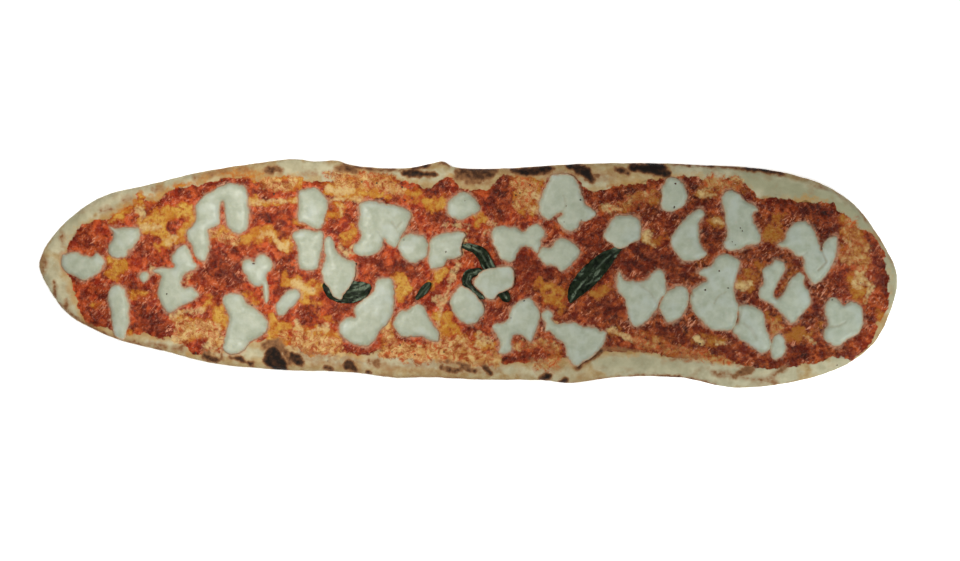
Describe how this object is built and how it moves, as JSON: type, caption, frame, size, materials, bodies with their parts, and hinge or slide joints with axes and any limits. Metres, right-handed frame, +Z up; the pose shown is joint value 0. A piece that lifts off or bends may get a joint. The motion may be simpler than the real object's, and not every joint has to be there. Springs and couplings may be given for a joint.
{
  "type": "margherita pizza",
  "caption": "Long oval margherita pizza: thin dough base with a low blistered rim, tomato sauce, melted mozzarella and basil leaves.",
  "frame": {"origin": "middle of the pizza's bounding box, on the flat underside", "axes": "+X along the pizza's length, from its narrow end to its broad end; +Y across it; +Z up, out of the toppings"},
  "size_m": [0.8596, 0.2294, 0.0171],
  "materials": {
    "crust": "matte baked dough, pale with flour, brown and black blisters",
    "sauce": "moist coarse tomato sauce with orange oil",
    "cheese": "soft satin melted mozzarella",
    "basil": "dark baked leaf with a dull sheen"
  },
  "bodies": {
    "root": {"crust": "crust", "sauce": "sauce", "basil_1": "basil", "basil_2": "basil", "basil_3": "basil", "basil_4": "basil", "basil_5": "basil", "mozzarella_01": "cheese", "mozzarella_02": "cheese", "mozzarella_03": "cheese", "mozzarella_04": "cheese", "mozzarella_05": "cheese", "mozzarella_06": "cheese", "mozzarella_07": "cheese", "mozzarella_08": "cheese", "mozzarella_09": "cheese", "mozzarella_10": "cheese", "mozzarella_11": "cheese", "mozzarella_12": "cheese", "mozzarella_13": "cheese", "mozzarella_14": "cheese", "mozzarella_15": "cheese", "mozzarella_16": "cheese", "mozzarella_17": "cheese", "mozzarella_18": "cheese", "mozzarella_19": "cheese", "mozzarella_20": "cheese", "mozzarella_21": "cheese", "mozzarella_22": "cheese", "mozzarella_23": "cheese", "mozzarella_24": "cheese", "mozzarella_25": "cheese", "mozzarella_26": "cheese", "mozzarella_27": "cheese", "mozzarella_28": "cheese", "mozzarella_29": "cheese", "mozzarella_30": "cheese", "mozzarella_31": "cheese", "mozzarella_32": "cheese", "mozzarella_33": "cheese", "mozzarella_34": "cheese", "mozzarella_35": "cheese", "mozzarella_36": "cheese", "mozzarella_37": "cheese"}
  },
  "joints": []
}
